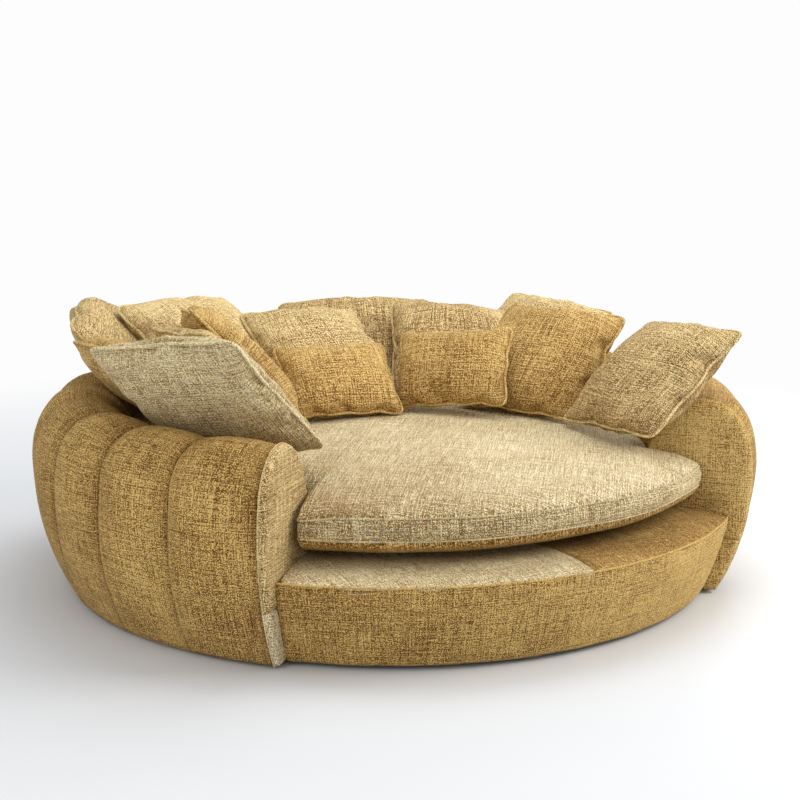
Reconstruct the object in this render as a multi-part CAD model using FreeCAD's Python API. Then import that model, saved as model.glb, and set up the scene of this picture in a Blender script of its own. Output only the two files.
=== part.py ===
"""Round cuddle chair with a channelled shell, a loose seat cushion and fourteen scatter pillows.

Units are millimetres, +Z is up and the chair looks along -Y. Angles round the chair are measured
from straight ahead (-Y) towards +X. The origin is on the floor, under the middle of the bounding box.
"""
import FreeCAD
import Part
import math
import os

from FreeCAD import Vector

# Driving sizes of the shell
ARM_FACE_ANGLE = 43.5        # from straight ahead to the padded face of each arm end
CHANNEL_COUNT = 19
SHELL_BOTTOM = 12.0          # height of the gap under the chair
SHELL_FOOT_R = 1000.0        # outer skin at the bottom edge
SHELL_OUTER_R = 1092.0       # outer skin at its widest
SHELL_BELLY_Z = 357.0        # height of the widest place
ARM_TOP_R = 941.0            # radius of the highest line of the wall
ARM_TOP_Z = 577.0
SHELL_INNER_R = 785.0        # inner skin at its tightest
SHELL_INNER_Z = 300.0
FOOT_SLOPE = 60.0            # degrees from level at which the outer skin leaves the bottom edge
CREST_RISE = 8.0             # skin at the middle of a channel, beyond the sizes above
QUARTER_RISE = 2.0
VALLEY_DROP = 16.0           # skin in the seam between two channels, inside the sizes above

# Wall frame inside the channels
FRAME_INNER_R = 862.0
FRAME_OUTER_R = 988.0
FRAME_TOP_Z = 503.0
FRAME_TAPER_Z = 100.0        # below this height the outer face leans in
FRAME_FOOT_R = 952.0
FACING_T = 3.0
PLY_T = 18.0

# Base, seat platform and deck
GLIDE_COUNT = 7
GLIDE_R = 24.0
GLIDE_DRAFT = 3.0
BASE_RING_INNER_R = 760.0
BASE_RING_OUTER_R = 936.0
GLIDE_INSET = 16.0           # from the edge of the base ring to the edge of a glide
RIB_FOOT_R = 800.0
POST_COUNT = 5
SEAT_RING_INNER_R = 700.0
SEAT_RING_Z = 200.0
SEAT_RING_T = 22.0
FRONT_RING_R = 984.0
STRAP_COUNT = 6
STRAP_W = 50.0
STRAP_T = 1.5
DUST_COVER_R = 950.0
DUST_COVER_T = 1.0

# Upholstery of the base
DECK_TOP_Z = 250.0
DECK_CROWN = 7.0
DECK_SEAM_ANGLE = 3.0
BORDER_FOOT_R = 964.0
BORDER_TOP_R = 1035.0
BORDER_TOP_Z = 242.0
BORDER_BULGE = 8.0
BORDER_PAD_T = 25.0
FRONT_BOARD_T = 9.0
BOARD_FIT = 0.1              # between the posts and the front board, which is curved
PANEL_T = 22.0
PANEL_EDGE = 12.0            # how far the face of an arm panel is smaller than its edge
PANEL_SEAM_Z = 172.0

# Seat cushion
CUSHION_GAP = 3.0            # between the cushion and the tightest line of the wall
CUSHION_FRONT_R = 930.0
CUSHION_FLAT_R = 600.0       # flat middle of the underside
CUSHION_SEAM_LOW = 315.0
CUSHION_SEAM_HIGH = 385.0
CUSHION_BAND_BULGE = 8.0
CUSHION_BOW = 6.0            # how full the top is between its seam and the radius of the wall
CUSHION_UNDER_Z = 268.0      # underside at the radius of the wall
CUSHION_SHOULDER_Z = 437.0   # top at the radius of the wall
CUSHION_TOP_Z = 468.0
REST_GAP = 0.3               # between loose soft pieces and what they rest on

# Scatter pillows: width, height, half thickness
PILLOW = (450.0, 450.0, 72.0)
PILLOW_LARGE = (500.0, 500.0, 75.0)
PILLOW_WIDE = (550.0, 500.0, 78.0)
PILLOW_LUMBAR = (380.0, 280.0, 58.0)
PILLOW_SMALL = (400.0, 300.0, 60.0)
PILLOW_EDGE = 6.0            # half thickness at the sewn edge
PILLOW_DRAW_IN = 18.0        # how far the middle of each side is drawn in between the corners
PILLOW_FULLNESS = {0.3: 1.0, 0.7: 0.7, 1.0: 0.0}      # share of the crown, by distance from the middle
PILLOW_TIP = 3.0             # extra half thickness in the middle of the side edges

# Where each pillow lies: size, x, y, height of its middle, yaw, lean back, roll in its own plane
PILLOW_PLACES = {
    "a_front_left": (PILLOW_LARGE, -735.3, -350.5, 648.0, 128.4, 45.9, -9.9),
    "b_left": (PILLOW, -761.2, 49.1, 618.0, 95.2, 52.4, -8.1),
    "c_left_rear": (PILLOW, -712.6, 475.9, 653.0, 62.3, 42.0, 15.0),
    "d_rear_left": (PILLOW_WIDE, -420.0, 446.6, 634.6, 34.5, 50.1, -4.0),
    "e_small_left": (PILLOW_SMALL, -650.0, -150.0, 694.5, 97.8, 40.6, -6.2),
    "f_inner_left": (PILLOW, -468.6, 110.8, 661.9, 81.9, 43.8, -9.2),
    "g_rear_middle": (PILLOW, -69.4, 385.7, 609.1, 9.6, 54.8, -3.4),
    "h_lumbar_left": (PILLOW_LUMBAR, -138.1, 115.2, 575.3, -2.7, 45.6, -2.0),
    "i_rear_wide": (PILLOW_WIDE, 149.4, 584.1, 599.4, -25.4, 57.3, 2.4),
    "j_rear_right": (PILLOW, 378.0, 295.2, 608.5, -15.5, 54.2, -8.4),
    "k_lumbar_right": (PILLOW_LUMBAR, 214.2, 14.7, 602.0, -48.6, 35.6, 6.4),
    "l_right": (PILLOW, 504.6, -50.1, 614.3, -59.0, 48.7, -1.5),
    "m_right_rear": (PILLOW, 697.2, 321.5, 604.2, -59.8, 53.5, -8.1),
    "n_front_right": (PILLOW, 605.3, -495.8, 622.4, -91.0, 50.6, 4.8),
}

# Derived sizes
UP = Vector(0, 0, 1)
PANEL_MID_R = (SHELL_OUTER_R + SHELL_INNER_R) / 2
WALL_START = ARM_FACE_ANGLE + math.degrees(PANEL_T / PANEL_MID_R)
CHANNEL_PITCH = (360 - 2 * WALL_START) / CHANNEL_COUNT
CREST_R = SHELL_OUTER_R + CREST_RISE
CENTRE_Y = (BORDER_TOP_R - CREST_R) / 2     # brings the middle of the bounding box onto the origin
SEAT_RING_TOP = SEAT_RING_Z + SEAT_RING_T
DECK_BOTTOM = SEAT_RING_TOP + 2 * STRAP_T
CUSHION_R = SHELL_INNER_R - CREST_RISE - CUSHION_GAP
CUSHION_BOTTOM = DECK_TOP_Z + REST_GAP
FRAME_PLY_INNER_R = FRAME_INNER_R + FACING_T
FRAME_PLY_OUTER_R = FRAME_OUTER_R - FACING_T
BASE_TOP = SHELL_BOTTOM + PLY_T
BORDER_LEAN = (BORDER_TOP_R - BORDER_FOOT_R) / (BORDER_TOP_Z - SHELL_BOTTOM)
FRAME_LEAN = (FRAME_OUTER_R - FRAME_FOOT_R) / (FRAME_TAPER_Z - SHELL_BOTTOM)


def polar(angle, r, z):
    """Point at an angle from straight ahead, a radius from the middle of the shell and a height."""
    a = math.radians(angle)
    return Vector(r * math.sin(a), -r * math.cos(a), z)


def side_way(angle):
    """Level unit vector square to the radial plane at an angle, towards larger angles."""
    a = math.radians(angle)
    return Vector(math.cos(a), math.sin(a), 0)


def tangent_arcs(start, slope, ends):
    """Arcs that follow on from each other: start point, first direction in degrees, end points."""
    spans = []
    for end in ends:
        dr, dz = end[0] - start[0], end[1] - start[1]
        chord = math.degrees(math.atan2(dz, dr))
        turn = chord - slope
        while turn < -180:
            turn += 360
        rise = math.hypot(dr, dz) / 2 * math.tan(math.radians(turn) / 2)
        out = math.radians(chord - 90)
        middle = ((start[0] + end[0]) / 2 + rise * math.cos(out), (start[1] + end[1]) / 2 + rise * math.sin(out))
        spans.append((start, middle, end))
        start, slope = end, slope + 2 * turn
    return spans


def outline(spans, place):
    """Closed wire through spans of 2 points (line) or 3 points (arc), put in space by place(r, z)."""
    edges = []
    for span in spans:
        points = [place(*p) for p in span]
        if len(points) == 3:
            edges.append(Part.Arc(*points).toShape())
        else:
            edges.append(Part.makeLine(*points))
    return Part.Wire(edges)


def lines(points):
    """Spans of straight lines through the points, in an open run."""
    return list(zip(points[:-1], points[1:]))


def ring(points, start=0.0, sweep=360.0, spans=None):
    """Solid turned about the shell's axis from a section given by corner points or by spans."""
    spans = spans or lines(list(points) + [points[0]])
    face = Part.Face(outline(spans, lambda r, z: polar(start, r, z)))
    return face.revolve(Vector(0, 0, 0), UP, sweep)


def plate(points, angle, thickness, offset=0.0):
    """Flat plate with an outline in the radial plane at an angle, thick towards larger angles."""
    shift = side_way(angle) * offset
    wire = outline(lines(list(points) + [points[0]]), lambda r, z: polar(angle, r, z) + shift)
    return Part.Face(wire).extrude(side_way(angle) * thickness)


def front_wedge(offset, height=ARM_TOP_Z):
    """Space between the two arm faces, its sides moved towards the middle by offset."""
    reach = 2 * SHELL_OUTER_R
    apex = Vector(0, -offset / math.sin(math.radians(WALL_START)), 0)
    left = apex + polar(-WALL_START, reach, 0)
    right = apex + polar(WALL_START, reach, 0)
    return Part.Face(Part.makePolygon([apex, left, right, apex])).extrude(Vector(0, 0, height))


def wall_skin(rise):
    """Spans of the soft wall's skin, from the outer bottom edge over the top to the inner edge."""
    def skin(r, z, out, up):
        return (r + out * rise, z + up * rise)

    joins = [
        skin(SHELL_OUTER_R, SHELL_BELLY_Z, 1, 0),
        skin(SHELL_OUTER_R - 9, SHELL_BELLY_Z + 98, 1, 0.1),
        skin(ARM_TOP_R + 95, ARM_TOP_Z - 34, 0.6, 0.8),
        skin(ARM_TOP_R, ARM_TOP_Z, 0, 1),
        skin(ARM_TOP_R - 112, ARM_TOP_Z - 72, -0.8, 0.55),
        skin(SHELL_INNER_R, SHELL_INNER_Z, -1, 0),
    ]
    spans = tangent_arcs((SHELL_FOOT_R, SHELL_BOTTOM), FOOT_SLOPE, joins)
    spans.append((joins[-1], skin(SHELL_INNER_R + 9, DECK_TOP_Z, -0.6, 0)))
    return spans


def channel_section(rise, share):
    """Closed spans of one channel's section: the skin, and the slot that the straight wall frame fills."""
    half = math.radians(CHANNEL_PITCH / 2)
    chord = math.cos(half) / math.cos(half * (2 * share - 1))
    spans = wall_skin(rise)
    slot = [
        spans[-1][-1],
        (FRAME_INNER_R * chord, DECK_TOP_Z),
        (FRAME_INNER_R * chord, FRAME_TOP_Z),
        (FRAME_OUTER_R * chord, FRAME_TOP_Z),
        (FRAME_OUTER_R * chord, FRAME_TAPER_Z),
        (FRAME_FOOT_R * chord, SHELL_BOTTOM),
        spans[0][0],
    ]
    return spans + lines(slot)


def channel_pad(index):
    """One vertical channel of the shell, full in the middle and drawn in at the seams on its sides."""
    start = WALL_START + index * CHANNEL_PITCH
    stations = ((0, -VALLEY_DROP), (0.25, QUARTER_RISE), (0.5, CREST_RISE), (0.75, QUARTER_RISE), (1, -VALLEY_DROP))
    wires = []
    for share, rise in stations:
        angle = start + share * CHANNEL_PITCH
        wires.append(outline(channel_section(rise, share), lambda r, z: polar(angle, r, z)))
    return Part.makeLoft(wires, True, True)


def panel_section(rise):
    """Closed spans of an arm end panel, which passes outside the seat platform and the base ring."""
    spans = wall_skin(rise)
    inner = [
        spans[-1][-1],
        (FRAME_PLY_INNER_R + 3, DECK_TOP_Z),
        (FRAME_PLY_INNER_R + 3, SEAT_RING_Z),
        (BASE_RING_OUTER_R, BASE_TOP + 2),
        (BASE_RING_OUTER_R, SHELL_BOTTOM),
        spans[0][0],
    ]
    return spans + lines(inner)


def arm_panel(side):
    """Padded panel that closes an arm, as (upper piece, lower strip), split at its level seam."""
    angle = side * WALL_START
    stations = ((0, 0), (PANEL_T / 2, 3.0), (PANEL_T, -PANEL_EDGE))
    wires = []
    for out, rise in stations:
        shift = side_way(angle) * (-side * out)
        wires.append(outline(panel_section(rise), lambda r, z: polar(angle, r, z) + shift))
    panel = Part.makeLoft(wires, True, True)
    below = Part.makeBox(4 * SHELL_OUTER_R, 4 * SHELL_OUTER_R, PANEL_SEAM_Z, Vector(-2 * SHELL_OUTER_R, -2 * SHELL_OUTER_R, 0))
    return panel.cut(below), panel.common(below)


def rib_outline():
    """Corners of a plywood rib: a foot under the seat ring and a tapered upright in the wall."""
    rail_bottom = FRAME_TOP_Z - PLY_T
    fit = FACING_T + PLY_T / 2 * math.tan(math.radians(CHANNEL_PITCH / 2))
    return [
        (RIB_FOOT_R, BASE_TOP),
        (FRAME_FOOT_R - fit + FRAME_LEAN * PLY_T, BASE_TOP),
        (FRAME_OUTER_R - fit, FRAME_TAPER_Z),
        (FRAME_OUTER_R - fit, rail_bottom),
        (FRAME_PLY_INNER_R, rail_bottom),
        (FRAME_PLY_INNER_R, SEAT_RING_Z),
        (RIB_FOOT_R, SEAT_RING_Z),
    ]


def wall_seams():
    """Angles of the seams between channels, and of the two wall ends."""
    return [WALL_START + index * CHANNEL_PITCH for index in range(CHANNEL_COUNT + 1)]


def frame_corners():
    """Angles of the corners of the plywood rings: the wall seams, then the posts of the front."""
    step = 2 * WALL_START / (POST_COUNT + 1)
    return wall_seams() + [index * step - WALL_START for index in range(1, POST_COUNT + 1)]


def post_angles():
    """Angles of the short posts under the front of the seat."""
    return frame_corners()[CHANNEL_COUNT + 1:]


def many_sided(radius, bottom, height, angles):
    """Upright prism with a corner at each angle."""
    corners = [polar(angle, radius, bottom) for angle in angles]
    return Part.Face(Part.makePolygon(corners + corners[:1])).extrude(Vector(0, 0, height))


def frame_ribs():
    """Plywood ribs in the wall, one at each seam, and the short posts under the front of the seat."""
    ribs = [plate(rib_outline(), angle, PLY_T, -PLY_T / 2) for angle in wall_seams()[1:-1]]
    inset = BORDER_PAD_T + FRONT_BOARD_T + BOARD_FIT
    post = [
        (RIB_FOOT_R, BASE_TOP),
        (border_radius(BASE_TOP, inset), BASE_TOP),
        (border_radius(SEAT_RING_Z, inset), SEAT_RING_Z),
        (RIB_FOOT_R, SEAT_RING_Z),
    ]
    ribs += [plate(post, angle, PLY_T, -PLY_T / 2) for angle in post_angles()]
    return Part.makeCompound(ribs)


def arm_board(side):
    """Plywood board across the end of an arm, behind the padded panel."""
    thickness = side * PLY_T
    return plate(rib_outline(), side * WALL_START, thickness)


def wall_ring(points):
    """Section carried from one arm end to the other in straight lengths between the wall seams."""
    spans = lines(list(points) + [points[0]])
    wires = [outline(spans, lambda r, z: polar(angle, r, z)) for angle in wall_seams()]
    return Part.makeLoft(wires, True, True)


def top_rail():
    """Curved plywood rail along the top of the ribs."""
    low = FRAME_TOP_Z - PLY_T
    return wall_ring([
        (FRAME_PLY_INNER_R, low),
        (FRAME_PLY_OUTER_R, low),
        (FRAME_PLY_OUTER_R, FRAME_TOP_Z),
        (FRAME_PLY_INNER_R, FRAME_TOP_Z),
    ])


def inner_facing():
    """Thin board bent round the inside of the ribs, above the deck."""
    height = FRAME_TOP_Z - DECK_TOP_Z
    outer = many_sided(FRAME_PLY_INNER_R, DECK_TOP_Z, height, frame_corners())
    inner = many_sided(FRAME_INNER_R, DECK_TOP_Z, height, frame_corners())
    return outer.cut(inner).cut(front_wedge(0))


def outer_facing():
    """Thin board bent round the outside of the ribs, down to the bottom edge of the shell."""
    board = wall_ring([
        (FRAME_FOOT_R - FACING_T, SHELL_BOTTOM),
        (FRAME_FOOT_R, SHELL_BOTTOM),
        (FRAME_OUTER_R, FRAME_TAPER_Z),
        (FRAME_OUTER_R, FRAME_TOP_Z),
        (FRAME_PLY_OUTER_R, FRAME_TOP_Z),
        (FRAME_PLY_OUTER_R, FRAME_TAPER_Z),
    ])
    return board.cut(arm_board(-1)).cut(arm_board(1))


def base_ring():
    """Plywood ring at the bottom, which the ribs stand on."""
    outer = many_sided(BASE_RING_OUTER_R, SHELL_BOTTOM, PLY_T, frame_corners())
    return outer.cut(many_sided(BASE_RING_INNER_R, SHELL_BOTTOM, PLY_T, frame_corners()))


def seat_ring():
    """Plywood ring that carries the webbing, wider at the open front."""
    front = many_sided(FRONT_RING_R, SEAT_RING_Z, SEAT_RING_T, frame_corners()).common(front_wedge(PANEL_T))
    whole = many_sided(FRAME_PLY_INNER_R, SEAT_RING_Z, SEAT_RING_T, frame_corners()).fuse(front)
    return whole.cut(many_sided(SEAT_RING_INNER_R, SEAT_RING_Z, SEAT_RING_T, frame_corners())).removeSplitter()


def straps(across, bottom):
    """Seat webbing: flat straps over the ring, all one way, cut to the ring's width."""
    reach = FRAME_INNER_R - STRAP_W
    pitch = 2 * SEAT_RING_INNER_R / (STRAP_COUNT + 1)
    pieces = []
    for index in range(STRAP_COUNT):
        middle = pitch * (index + 1) - SEAT_RING_INNER_R
        half = math.sqrt(reach ** 2 - middle ** 2)
        corner = (-half, middle - STRAP_W / 2) if across else (middle - STRAP_W / 2, -half)
        size = (2 * half, STRAP_W) if across else (STRAP_W, 2 * half)
        pieces.append(Part.makeBox(size[0], size[1], STRAP_T, Vector(corner[0], corner[1], bottom)))
    return Part.makeCompound(pieces)


def border_radius(z, inset=0.0):
    """Radius of the straight line of the front border at a height, moved in by inset."""
    return BORDER_FOOT_R - inset + BORDER_LEAN * (z - SHELL_BOTTOM)


def front_board():
    """Curved board between the arms that the front border is pulled over."""
    inset = BORDER_PAD_T + FRONT_BOARD_T
    low = BASE_TOP
    board = ring([
        (border_radius(low, inset), low),
        (border_radius(low, BORDER_PAD_T), low),
        (border_radius(DECK_BOTTOM, BORDER_PAD_T), DECK_BOTTOM),
        (border_radius(DECK_BOTTOM, inset), DECK_BOTTOM),
    ])
    return board.common(front_wedge(PANEL_T))


def front_border():
    """Padded border of the base between the arm ends, leaning in towards the floor."""
    middle_z = (SHELL_BOTTOM + BORDER_TOP_Z) / 2
    foot = (BORDER_FOOT_R, SHELL_BOTTOM)
    belly = (border_radius(middle_z, -BORDER_BULGE), middle_z)
    top = (BORDER_TOP_R, BORDER_TOP_Z)
    back = [
        top,
        (border_radius(DECK_BOTTOM, BORDER_PAD_T), DECK_BOTTOM),
        (border_radius(SHELL_BOTTOM, BORDER_PAD_T), SHELL_BOTTOM),
        foot,
    ]
    return ring(None, spans=[(foot, belly, top)] + lines(back)).common(front_wedge(PANEL_T))


def deck_pad(side):
    """Half of the padded deck under the cushion: -1 left or 1 right of the seam."""
    disc = many_sided(FRAME_INNER_R, DECK_BOTTOM, DECK_TOP_Z - DECK_BOTTOM, frame_corners())
    inner_r = FRAME_INNER_R * math.cos(math.radians(WALL_START / (POST_COUNT + 1))) - STRAP_W
    inner_top = (inner_r, DECK_TOP_Z)
    crown = ((inner_r + BORDER_TOP_R) / 2, DECK_TOP_Z + DECK_CROWN)
    seam = (BORDER_TOP_R, BORDER_TOP_Z)
    spans = [(inner_top, crown, seam)] + lines([
        seam,
        (border_radius(DECK_BOTTOM, BORDER_PAD_T), DECK_BOTTOM),
        (inner_r, DECK_BOTTOM),
        inner_top,
    ])
    apron = ring(None, DECK_SEAM_ANGLE, side * 90, spans).common(front_wedge(PANEL_T))
    reach = 2 * SHELL_OUTER_R
    half = Part.makeBox(reach, 2 * reach, ARM_TOP_Z, Vector(0 if side > 0 else -reach, -reach, 0))
    half.rotate(Vector(0, 0, 0), UP, DECK_SEAM_ANGLE)
    return disc.common(half).fuse(apron).removeSplitter()


def arc_middle(start, end, bow):
    """Middle point of a shallow arc between two points, bowed outwards (to the right of its course)."""
    dr, dz = end[0] - start[0], end[1] - start[1]
    length = math.hypot(dr, dz)
    return ((start[0] + end[0]) / 2 + bow * dz / length, (start[1] + end[1]) / 2 - bow * dr / length)


def crown_lines():
    """Run of straight lines from the cushion's shoulder to its middle, along a shallow dome."""
    drop = CUSHION_TOP_Z - CUSHION_SHOULDER_Z
    shares = (1, 0.75, 0.4, 0)
    return lines([(CUSHION_R * share, CUSHION_TOP_Z - drop * share ** 2) for share in shares])


def seat_cushion():
    """Loose round cushion: flat-bottomed with a domed top, and at the front a bulging band with two ears."""
    axis = ((0, CUSHION_TOP_Z), (0, CUSHION_BOTTOM))
    flat = (CUSHION_FLAT_R, CUSHION_BOTTOM)
    under = (CUSHION_R, CUSHION_UNDER_Z)
    shoulder = (CUSHION_R, CUSHION_SHOULDER_Z)
    low = (CUSHION_FRONT_R, CUSHION_SEAM_LOW)
    high = (CUSHION_FRONT_R, CUSHION_SEAM_HIGH)
    base = [((0, CUSHION_BOTTOM), flat), (flat, under)]
    front = [
        (under, low),
        (low, arc_middle(low, high, CUSHION_BAND_BULGE), high),
        (high, arc_middle(high, shoulder, CUSHION_BOW), shoulder),
    ]
    ear = WALL_START - math.degrees((PANEL_T + CUSHION_GAP) / CUSHION_R)
    top = crown_lines() + [axis]
    back_part = ring(None, ear, 360 - 2 * ear, base + [(under, shoulder)] + top)
    front_part = ring(None, -ear, 2 * ear, base + front + top)
    return back_part.fuse(front_part).removeSplitter()


def pillow(size, x, y, z, yaw, lean, roll):
    """Knife-edge pillow: a crown in the middle, thin corners and sides drawn in between them."""
    width, height, crown = size
    tops, bottoms = [], []
    reaches = sorted(PILLOW_FULLNESS)
    for station in [-reach for reach in reversed(reaches)] + reaches:
        reach = abs(station)
        half = height / 2 - PILLOW_DRAW_IN * (1 - reach ** 2)
        full = PILLOW_EDGE + (crown - PILLOW_EDGE) * PILLOW_FULLNESS[reach]
        full = max(full, PILLOW_EDGE + PILLOW_TIP)
        edge_u, mid_u = station * width / 2, station * (width / 2 - PILLOW_DRAW_IN)
        for rows, way in ((tops, 1), (bottoms, -1)):
            rows.append([
                Vector(edge_u, -half, way * PILLOW_EDGE),
                Vector(mid_u, 0, way * full),
                Vector(edge_u, half, way * PILLOW_EDGE),
            ])
    faces = []
    for rows in (tops, bottoms):
        arcs = [Part.Arc(*row).toShape() for row in rows]
        faces += [Part.makeRuledSurface(a, b) for a, b in zip(arcs[:-1], arcs[1:])]
    for end in (0, -1):
        faces.append(Part.makeRuledSurface(Part.Arc(*tops[end]).toShape(), Part.Arc(*bottoms[end]).toShape()))
    for index in range(len(tops) - 1):
        for side in (0, 2):
            corners = [tops[index][side], tops[index + 1][side], bottoms[index + 1][side], bottoms[index][side]]
            faces.append(Part.Face(Part.makePolygon(corners + corners[:1])))
    shell = Part.makeShell(faces)
    shell.sewShape()
    solid = Part.makeSolid(shell)
    if solid.Volume < 0:
        solid.reverse()
    tilt = FreeCAD.Rotation(UP, yaw).multiply(FreeCAD.Rotation(Vector(1, 0, 0), 90 - lean))
    solid.Placement = FreeCAD.Placement(Vector(x, y, z), tilt.multiply(FreeCAD.Rotation(UP, roll)))
    return solid


def glide(index):
    """Low round glide under the base ring, slightly tapered."""
    angle = glide_angle(index)
    middle = polar(angle, BASE_RING_OUTER_R - GLIDE_INSET - GLIDE_R, 0)
    return Part.makeCone(GLIDE_R - GLIDE_DRAFT, GLIDE_R, SHELL_BOTTOM, middle)


def glide_angle(index):
    """Glides stand evenly round the base, the first straight ahead."""
    return index * 360 / GLIDE_COUNT


def dust_cover():
    """Thin cloth stapled under the base, cut out round the glides."""
    bottom = SHELL_BOTTOM - DUST_COVER_T
    cloth = many_sided(DUST_COVER_R, bottom, DUST_COVER_T, frame_corners())
    for index in range(GLIDE_COUNT):
        middle = polar(glide_angle(index), BASE_RING_OUTER_R - GLIDE_INSET - GLIDE_R, bottom)
        cloth = cloth.cut(Part.makeCylinder(GLIDE_R + DUST_COVER_T, DUST_COVER_T, middle))
    return cloth


def build():
    """All sub-parts by node name, about the middle of the shell."""
    nodes = {
        "base_ring": base_ring(),
        "frame_ribs": frame_ribs(),
        "top_rail": top_rail(),
        "seat_ring": seat_ring(),
        "inner_facing": inner_facing(),
        "outer_facing": outer_facing(),
        "front_board": front_board(),
        "arm_board_left": arm_board(-1),
        "arm_board_right": arm_board(1),
        "webbing_long": straps(False, SEAT_RING_TOP),
        "webbing_cross": straps(True, SEAT_RING_TOP + STRAP_T),
        "dust_cover": dust_cover(),
        "deck_pad_left": deck_pad(-1),
        "deck_pad_right": deck_pad(1),
        "front_border": front_border(),
        "seat_cushion": seat_cushion(),
    }
    for side, word in ((-1, "left"), (1, "right")):
        upper, lower = arm_panel(side)
        nodes["arm_panel_" + word] = upper
        nodes["arm_strip_" + word] = lower
    for index in range(CHANNEL_COUNT):
        nodes["channel_%02d" % (index + 1)] = channel_pad(index)
    for index in range(GLIDE_COUNT):
        nodes["glide_%d" % (index + 1)] = glide(index)
    for name, place in PILLOW_PLACES.items():
        nodes["pillow_" + name] = pillow(*place)
    return nodes


os.makedirs("parts", exist_ok=True)
for node, shape in build().items():
    shape.translate(Vector(0, CENTRE_Y, 0))
    if not shape.isValid():
        print("not valid:", node)
    shape.exportStep("parts/" + node + ".step")
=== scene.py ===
# %% [markdown]
# # A round cuddle chair in slubby chenille
# The chair is a low padded wall round a deep seat, with one loose seat cushion and fourteen scatter
# pillows. A hard frame was already built elsewhere and is loaded here; every soft piece is then made
# over its plain solid, so that the chair keeps its true sizes.

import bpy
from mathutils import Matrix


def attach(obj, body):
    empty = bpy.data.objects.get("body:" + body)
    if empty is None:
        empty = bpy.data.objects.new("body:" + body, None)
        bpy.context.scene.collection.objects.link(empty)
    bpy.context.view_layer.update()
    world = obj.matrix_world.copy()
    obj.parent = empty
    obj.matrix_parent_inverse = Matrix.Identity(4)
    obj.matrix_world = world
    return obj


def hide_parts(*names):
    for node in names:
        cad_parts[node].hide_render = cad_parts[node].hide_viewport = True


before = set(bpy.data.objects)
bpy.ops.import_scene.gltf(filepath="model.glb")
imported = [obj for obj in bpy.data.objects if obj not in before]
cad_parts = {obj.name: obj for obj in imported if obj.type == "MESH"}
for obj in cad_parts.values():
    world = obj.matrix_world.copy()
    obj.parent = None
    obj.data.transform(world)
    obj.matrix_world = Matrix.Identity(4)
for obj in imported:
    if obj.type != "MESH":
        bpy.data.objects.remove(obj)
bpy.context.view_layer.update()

# %% Tools of the trade
import math

import bpy
import numpy as np
from mathutils import Matrix, Vector, noise

MM = 0.001
# The shell's own middle lies a little in front of the middle of the whole box.
SHELL_Y = -0.0325


def at(angle, r, z):
    """Point at an angle in degrees from straight ahead, a radius and a height, all in metres."""
    a = math.radians(angle)
    return (r * math.sin(a), -r * math.cos(a) + SHELL_Y, z)


# %% [markdown]
# ## Camera
# The photograph was taken from a little above the arms and to the left of the front. The camera goes
# to the same side with a short telephoto lens, which keeps the round seat from bulging at the viewer.

# %% Camera
CAMERA_AT = Vector((-2.0938, -4.1806, 1.4049))
CAMERA_AIM = Vector((0.0157, -0.0405, 0.5203))
LENS_MM = 68.6

camera_data = bpy.data.cameras.new("camera")
camera_data.lens = LENS_MM
camera_data.sensor_width = 36.0
camera = bpy.data.objects.new("camera", camera_data)
bpy.context.collection.objects.link(camera)
camera.location = CAMERA_AT
camera.rotation_euler = (CAMERA_AIM - CAMERA_AT).to_track_quat("-Z", "Y").to_euler()
bpy.context.scene.camera = camera
bpy.context.scene.view_settings.view_transform = "Standard"

# %% [markdown]
# ## Light and floor
# A studio with white walls gives light from everywhere, so the world is a pale grey. One big soft
# lamp high on the right and in front gives the cushions their form. A lamp overhead, one behind on the
# right and a weak warm one on the left fill the rest, so that no side of the chair goes dark.

# %% Node helper and colours


def add_node(tree, kind, inputs=None, **settings):
    """Adds a node, sets its properties, and links or sets its inputs by name or number."""
    node = tree.nodes.new(kind)
    for key, value in settings.items():
        setattr(node, key, value)
    for key, value in (inputs or {}).items():
        socket = node.inputs[key]
        if isinstance(value, bpy.types.NodeSocket):
            tree.links.new(value, socket)
        else:
            socket.default_value = value
    return node


def linear(hex_colour):
    """sRGB hex to the linear values that the shaders want."""
    out = []
    for i in (0, 2, 4):
        c = int(hex_colour[i:i + 2], 16) / 255
        out.append(c / 12.92 if c <= 0.04045 else ((c + 0.055) / 1.055) ** 2.4)
    return (*out, 1.0)


def new_material(name):
    """Empty material with its output node and tree."""
    material = bpy.data.materials.new(name)
    material.use_nodes = True
    material.node_tree.nodes.clear()
    output = add_node(material.node_tree, "ShaderNodeOutputMaterial")
    return material, material.node_tree, output


# %% World, lamps and floor
world = bpy.data.worlds.new("studio")
bpy.context.scene.world = world
world.use_nodes = True
world.node_tree.nodes.clear()
wt = world.node_tree
seen = add_node(wt, "ShaderNodeLightPath")
room = add_node(wt, "ShaderNodeBackground", {"Color": linear("f8f8f8"), "Strength": 0.72})
white = add_node(wt, "ShaderNodeBackground", {"Color": linear("fdfdfd"), "Strength": 1.0})
pick = add_node(
    wt, "ShaderNodeMixShader", {0: seen.outputs["Is Camera Ray"], 1: room.outputs[0], 2: white.outputs[0]}
)
add_node(wt, "ShaderNodeOutputWorld", {"Surface": pick.outputs[0]})


def soft_lamp(name, place, aim, size, watts, colour="ffffff"):
    """Square area lamp that points at a place."""
    data = bpy.data.lights.new(name, "AREA")
    data.shape = "SQUARE"
    data.size = size
    data.energy = watts
    data.color = linear(colour)[:3]
    lamp = bpy.data.objects.new(name, data)
    bpy.context.collection.objects.link(lamp)
    lamp.location = place
    lamp.rotation_euler = (Vector(aim) - Vector(place)).to_track_quat("-Z", "Y").to_euler()


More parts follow.
